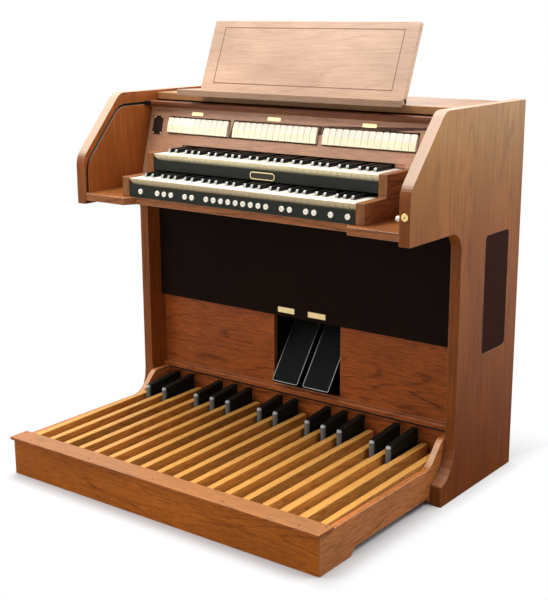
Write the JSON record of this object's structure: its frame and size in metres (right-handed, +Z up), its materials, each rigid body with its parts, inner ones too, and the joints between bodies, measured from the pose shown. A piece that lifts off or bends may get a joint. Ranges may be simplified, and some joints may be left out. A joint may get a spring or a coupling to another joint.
{
  "type": "electronic organ",
  "caption": "Two-manual home organ console with shaped side panels, rocker stops, expression pedals, sliding roll-top, music desk and a sprung pedalboard.",
  "frame": {"origin": "centre of the footprint on the floor, under the middle of the whole object's box", "axes": "+X to the player's right, +Y away from the player, +Z up"},
  "size_m": [1.24, 1.0146, 1.3766],
  "materials": {
    "cabinet_wood": "satin lacquered walnut veneer",
    "desk_wood": "satin lacquered pale walnut veneer",
    "pedal_oak": "satin lacquered oak",
    "pedal_black": "black stained, satin",
    "ivory_plastic": "polished ivory white",
    "sharp_plastic": "polished black",
    "black_plastic": "fine textured black",
    "grille_cloth": "stretched dark brown cloth",
    "speaker_metal": "black painted basket",
    "back_board": "raw fibreboard",
    "brass": "polished"
  },
  "bodies": {
    "cabinet": {"side_panel_left": "cabinet_wood", "side_panel_right": "cabinet_wood", "back_panel": "back_board", "top_panel": "cabinet_wood", "key_bed": "cabinet_wood", "stop_panel": "cabinet_wood", "kick_panel": "cabinet_wood", "front_grille": "grille_cloth", "side_grille_left": "grille_cloth", "side_grille_right": "grille_cloth", "key_block_left": "cabinet_wood", "key_block_right": "cabinet_wood", "piston_rail": "black_plastic", "nameboard": "black_plastic", "expression_well": "black_plastic", "pedalboard_frame": "cabinet_wood", "loudspeaker": "speaker_metal", "music_desk": "desk_wood"},
    "lower_naturals": {"lower_naturals": "ivory_plastic"},
    "lower_sharps": {"lower_sharps": "sharp_plastic"},
    "upper_naturals": {"upper_naturals": "ivory_plastic"},
    "upper_sharps": {"upper_sharps": "sharp_plastic"},
    "stop_tabs_left": {"stop_tabs_left": "ivory_plastic"},
    "stop_tabs_centre": {"stop_tabs_centre": "ivory_plastic"},
    "stop_tabs_right": {"stop_tabs_right": "ivory_plastic"},
    "thumb_pistons": {"thumb_pistons": "ivory_plastic"},
    "expression_pedal_left": {"expression_pedal_left": "black_plastic"},
    "expression_pedal_right": {"expression_pedal_right": "black_plastic"},
    "roll_top": {"roll_top": "cabinet_wood"},
    "lock_cylinder": {"lock_cylinder": "brass"},
    "pedal_c2": {"pedal_c2": "pedal_oak"},
    "pedal_c_sharp2": {"pedal_c_sharp2": "pedal_black"},
    "pedal_d2": {"pedal_d2": "pedal_oak"},
    "pedal_d_sharp2": {"pedal_d_sharp2": "pedal_black"},
    "pedal_e2": {"pedal_e2": "pedal_oak"},
    "pedal_f2": {"pedal_f2": "pedal_oak"},
    "pedal_f_sharp2": {"pedal_f_sharp2": "pedal_black"},
    "pedal_g2": {"pedal_g2": "pedal_oak"},
    "pedal_g_sharp2": {"pedal_g_sharp2": "pedal_black"},
    "pedal_a2": {"pedal_a2": "pedal_oak"},
    "pedal_a_sharp2": {"pedal_a_sharp2": "pedal_black"},
    "pedal_b2": {"pedal_b2": "pedal_oak"},
    "pedal_c3": {"pedal_c3": "pedal_oak"},
    "pedal_c_sharp3": {"pedal_c_sharp3": "pedal_black"},
    "pedal_d3": {"pedal_d3": "pedal_oak"},
    "pedal_d_sharp3": {"pedal_d_sharp3": "pedal_black"},
    "pedal_e3": {"pedal_e3": "pedal_oak"},
    "pedal_f3": {"pedal_f3": "pedal_oak"},
    "pedal_f_sharp3": {"pedal_f_sharp3": "pedal_black"},
    "pedal_g3": {"pedal_g3": "pedal_oak"},
    "pedal_g_sharp3": {"pedal_g_sharp3": "pedal_black"},
    "pedal_a3": {"pedal_a3": "pedal_oak"},
    "pedal_a_sharp3": {"pedal_a_sharp3": "pedal_black"},
    "pedal_b3": {"pedal_b3": "pedal_oak"},
    "pedal_c4": {"pedal_c4": "pedal_oak"},
    "pedal_c_sharp4": {"pedal_c_sharp4": "pedal_black"},
    "pedal_d4": {"pedal_d4": "pedal_oak"},
    "pedal_d_sharp4": {"pedal_d_sharp4": "pedal_black"},
    "pedal_e4": {"pedal_e4": "pedal_oak"},
    "pedal_f4": {"pedal_f4": "pedal_oak"}
  },
  "joints": [
    {"name": "lower_naturals_press", "type": "hinge", "parent": "cabinet", "child": "lower_naturals", "pos_m": [0, 0.08105, 0.8754], "axis": [1, 0, 0], "range_deg": [0, 3], "stiffness_Nm_per_rad": 30, "springref_deg": -14.32},
    {"name": "lower_sharps_press", "type": "hinge", "parent": "cabinet", "child": "lower_sharps", "pos_m": [0, 0.09805, 0.8754], "axis": [1, 0, 0], "range_deg": [0, 3], "stiffness_Nm_per_rad": 15, "springref_deg": -14.32},
    {"name": "upper_naturals_press", "type": "hinge", "parent": "cabinet", "child": "upper_naturals", "pos_m": [0, 0.19485, 0.9406], "axis": [1, 0, 0], "range_deg": [0, 3], "stiffness_Nm_per_rad": 30, "springref_deg": -14.32},
    {"name": "upper_sharps_press", "type": "hinge", "parent": "cabinet", "child": "upper_sharps", "pos_m": [0, 0.21185, 0.9406], "axis": [1, 0, 0], "range_deg": [0, 3], "stiffness_Nm_per_rad": 15, "springref_deg": -14.32},
    {"name": "stop_tabs_left_rock", "type": "hinge", "parent": "cabinet", "child": "stop_tabs_left", "pos_m": [0, 0.1773, 1.03612], "axis": [1, 0, 0], "range_deg": [0, 5]},
    {"name": "stop_tabs_centre_rock", "type": "hinge", "parent": "cabinet", "child": "stop_tabs_centre", "pos_m": [0, 0.1773, 1.03612], "axis": [1, 0, 0], "range_deg": [0, 5]},
    {"name": "stop_tabs_right_rock", "type": "hinge", "parent": "cabinet", "child": "stop_tabs_right", "pos_m": [0, 0.1773, 1.03612], "axis": [1, 0, 0], "range_deg": [0, 5]},
    {"name": "thumb_pistons_push", "type": "slide", "parent": "cabinet", "child": "thumb_pistons", "axis": [0, 1, 0], "range_m": [0, 0.003], "stiffness_N_per_m": 1500, "springref_m": -0.002},
    {"name": "expression_pedal_left_tilt", "type": "hinge", "parent": "cabinet", "child": "expression_pedal_left", "pos_m": [0.028, 0.26651, 0.2916], "axis": [-1, 0, 0], "range_deg": [0, 22]},
    {"name": "expression_pedal_right_tilt", "type": "hinge", "parent": "cabinet", "child": "expression_pedal_right", "pos_m": [0.028, 0.26651, 0.2916], "axis": [-1, 0, 0], "range_deg": [0, 22]},
    {"name": "roll_top_slide", "type": "slide", "parent": "cabinet", "child": "roll_top", "axis": [0, -1, 0], "range_m": [0, 0.085]},
    {"name": "lock_turn", "type": "hinge", "parent": "cabinet", "child": "lock_cylinder", "pos_m": [0.603, -0.14675, 0.886], "axis": [0, 1, 0], "range_deg": [0, 90]},
    {"name": "pedal_c2_press", "type": "hinge", "parent": "cabinet", "child": "pedal_c2", "pos_m": [-0.54825, -0.45775, 0.075], "axis": [-1, 0, 0], "range_deg": [0, 1.3], "stiffness_Nm_per_rad": 20, "springref_deg": -28.65},
    {"name": "pedal_c_sharp2_press", "type": "hinge", "parent": "cabinet", "child": "pedal_c_sharp2", "pos_m": [-0.516, -0.45775, 0.075], "axis": [-1, 0, 0], "range_deg": [0, 1.3], "stiffness_Nm_per_rad": 20, "springref_deg": -28.65},
    {"name": "pedal_d2_press", "type": "hinge", "parent": "cabinet", "child": "pedal_d2", "pos_m": [-0.48375, -0.45775, 0.075], "axis": [-1, 0, 0], "range_deg": [0, 1.3], "stiffness_Nm_per_rad": 20, "springref_deg": -28.65},
    {"name": "pedal_d_sharp2_press", "type": "hinge", "parent": "cabinet", "child": "pedal_d_sharp2", "pos_m": [-0.4515, -0.45775, 0.075], "axis": [-1, 0, 0], "range_deg": [0, 1.3], "stiffness_Nm_per_rad": 20, "springref_deg": -28.65},
    {"name": "pedal_e2_press", "type": "hinge", "parent": "cabinet", "child": "pedal_e2", "pos_m": [-0.41925, -0.45775, 0.075], "axis": [-1, 0, 0], "range_deg": [0, 1.3], "stiffness_Nm_per_rad": 20, "springref_deg": -28.65},
    {"name": "pedal_f2_press", "type": "hinge", "parent": "cabinet", "child": "pedal_f2", "pos_m": [-0.35475, -0.45775, 0.075], "axis": [-1, 0, 0], "range_deg": [0, 1.3], "stiffness_Nm_per_rad": 20, "springref_deg": -28.65},
    {"name": "pedal_f_sharp2_press", "type": "hinge", "parent": "cabinet", "child": "pedal_f_sharp2", "pos_m": [-0.3225, -0.45775, 0.075], "axis": [-1, 0, 0], "range_deg": [0, 1.3], "stiffness_Nm_per_rad": 20, "springref_deg": -28.65},
    {"name": "pedal_g2_press", "type": "hinge", "parent": "cabinet", "child": "pedal_g2", "pos_m": [-0.29025, -0.45775, 0.075], "axis": [-1, 0, 0], "range_deg": [0, 1.3], "stiffness_Nm_per_rad": 20, "springref_deg": -28.65},
    {"name": "pedal_g_sharp2_press", "type": "hinge", "parent": "cabinet", "child": "pedal_g_sharp2", "pos_m": [-0.258, -0.45775, 0.075], "axis": [-1, 0, 0], "range_deg": [0, 1.3], "stiffness_Nm_per_rad": 20, "springref_deg": -28.65},
    {"name": "pedal_a2_press", "type": "hinge", "parent": "cabinet", "child": "pedal_a2", "pos_m": [-0.22575, -0.45775, 0.075], "axis": [-1, 0, 0], "range_deg": [0, 1.3], "stiffness_Nm_per_rad": 20, "springref_deg": -28.65},
    {"name": "pedal_a_sharp2_press", "type": "hinge", "parent": "cabinet", "child": "pedal_a_sharp2", "pos_m": [-0.1935, -0.45775, 0.075], "axis": [-1, 0, 0], "range_deg": [0, 1.3], "stiffness_Nm_per_rad": 20, "springref_deg": -28.65},
    {"name": "pedal_b2_press", "type": "hinge", "parent": "cabinet", "child": "pedal_b2", "pos_m": [-0.16125, -0.45775, 0.075], "axis": [-1, 0, 0], "range_deg": [0, 1.3], "stiffness_Nm_per_rad": 20, "springref_deg": -28.65},
    {"name": "pedal_c3_press", "type": "hinge", "parent": "cabinet", "child": "pedal_c3", "pos_m": [-0.09675, -0.45775, 0.075], "axis": [-1, 0, 0], "range_deg": [0, 1.3], "stiffness_Nm_per_rad": 20, "springref_deg": -28.65},
    {"name": "pedal_c_sharp3_press", "type": "hinge", "parent": "cabinet", "child": "pedal_c_sharp3", "pos_m": [-0.0645, -0.45775, 0.075], "axis": [-1, 0, 0], "range_deg": [0, 1.3], "stiffness_Nm_per_rad": 20, "springref_deg": -28.65},
    {"name": "pedal_d3_press", "type": "hinge", "parent": "cabinet", "child": "pedal_d3", "pos_m": [-0.03225, -0.45775, 0.075], "axis": [-1, 0, 0], "range_deg": [0, 1.3], "stiffness_Nm_per_rad": 20, "springref_deg": -28.65},
    {"name": "pedal_d_sharp3_press", "type": "hinge", "parent": "cabinet", "child": "pedal_d_sharp3", "pos_m": [0, -0.45775, 0.075], "axis": [-1, 0, 0], "range_deg": [0, 1.3], "stiffness_Nm_per_rad": 20, "springref_deg": -28.65},
    {"name": "pedal_e3_press", "type": "hinge", "parent": "cabinet", "child": "pedal_e3", "pos_m": [0.03225, -0.45775, 0.075], "axis": [-1, 0, 0], "range_deg": [0, 1.3], "stiffness_Nm_per_rad": 20, "springref_deg": -28.65},
    {"name": "pedal_f3_press", "type": "hinge", "parent": "cabinet", "child": "pedal_f3", "pos_m": [0.09675, -0.45775, 0.075], "axis": [-1, 0, 0], "range_deg": [0, 1.3], "stiffness_Nm_per_rad": 20, "springref_deg": -28.65},
    {"name": "pedal_f_sharp3_press", "type": "hinge", "parent": "cabinet", "child": "pedal_f_sharp3", "pos_m": [0.129, -0.45775, 0.075], "axis": [-1, 0, 0], "range_deg": [0, 1.3], "stiffness_Nm_per_rad": 20, "springref_deg": -28.65},
    {"name": "pedal_g3_press", "type": "hinge", "parent": "cabinet", "child": "pedal_g3", "pos_m": [0.16125, -0.45775, 0.075], "axis": [-1, 0, 0], "range_deg": [0, 1.3], "stiffness_Nm_per_rad": 20, "springref_deg": -28.65},
    {"name": "pedal_g_sharp3_press", "type": "hinge", "parent": "cabinet", "child": "pedal_g_sharp3", "pos_m": [0.1935, -0.45775, 0.075], "axis": [-1, 0, 0], "range_deg": [0, 1.3], "stiffness_Nm_per_rad": 20, "springref_deg": -28.65},
    {"name": "pedal_a3_press", "type": "hinge", "parent": "cabinet", "child": "pedal_a3", "pos_m": [0.22575, -0.45775, 0.075], "axis": [-1, 0, 0], "range_deg": [0, 1.3], "stiffness_Nm_per_rad": 20, "springref_deg": -28.65},
    {"name": "pedal_a_sharp3_press", "type": "hinge", "parent": "cabinet", "child": "pedal_a_sharp3", "pos_m": [0.258, -0.45775, 0.075], "axis": [-1, 0, 0], "range_deg": [0, 1.3], "stiffness_Nm_per_rad": 20, "springref_deg": -28.65},
    {"name": "pedal_b3_press", "type": "hinge", "parent": "cabinet", "child": "pedal_b3", "pos_m": [0.29025, -0.45775, 0.075], "axis": [-1, 0, 0], "range_deg": [0, 1.3], "stiffness_Nm_per_rad": 20, "springref_deg": -28.65},
    {"name": "pedal_c4_press", "type": "hinge", "parent": "cabinet", "child": "pedal_c4", "pos_m": [0.35475, -0.45775, 0.075], "axis": [-1, 0, 0], "range_deg": [0, 1.3], "stiffness_Nm_per_rad": 20, "springref_deg": -28.65},
    {"name": "pedal_c_sharp4_press", "type": "hinge", "parent": "cabinet", "child": "pedal_c_sharp4", "pos_m": [0.387, -0.45775, 0.075], "axis": [-1, 0, 0], "range_deg": [0, 1.3], "stiffness_Nm_per_rad": 20, "springref_deg": -28.65},
    {"name": "pedal_d4_press", "type": "hinge", "parent": "cabinet", "child": "pedal_d4", "pos_m": [0.41925, -0.45775, 0.075], "axis": [-1, 0, 0], "range_deg": [0, 1.3], "stiffness_Nm_per_rad": 20, "springref_deg": -28.65},
    {"name": "pedal_d_sharp4_press", "type": "hinge", "parent": "cabinet", "child": "pedal_d_sharp4", "pos_m": [0.4515, -0.45775, 0.075], "axis": [-1, 0, 0], "range_deg": [0, 1.3], "stiffness_Nm_per_rad": 20, "springref_deg": -28.65},
    {"name": "pedal_e4_press", "type": "hinge", "parent": "cabinet", "child": "pedal_e4", "pos_m": [0.48375, -0.45775, 0.075], "axis": [-1, 0, 0], "range_deg": [0, 1.3], "stiffness_Nm_per_rad": 20, "springref_deg": -28.65},
    {"name": "pedal_f4_press", "type": "hinge", "parent": "cabinet", "child": "pedal_f4", "pos_m": [0.54825, -0.45775, 0.075], "axis": [-1, 0, 0], "range_deg": [0, 1.3], "stiffness_Nm_per_rad": 20, "springref_deg": -28.65}
  ]
}
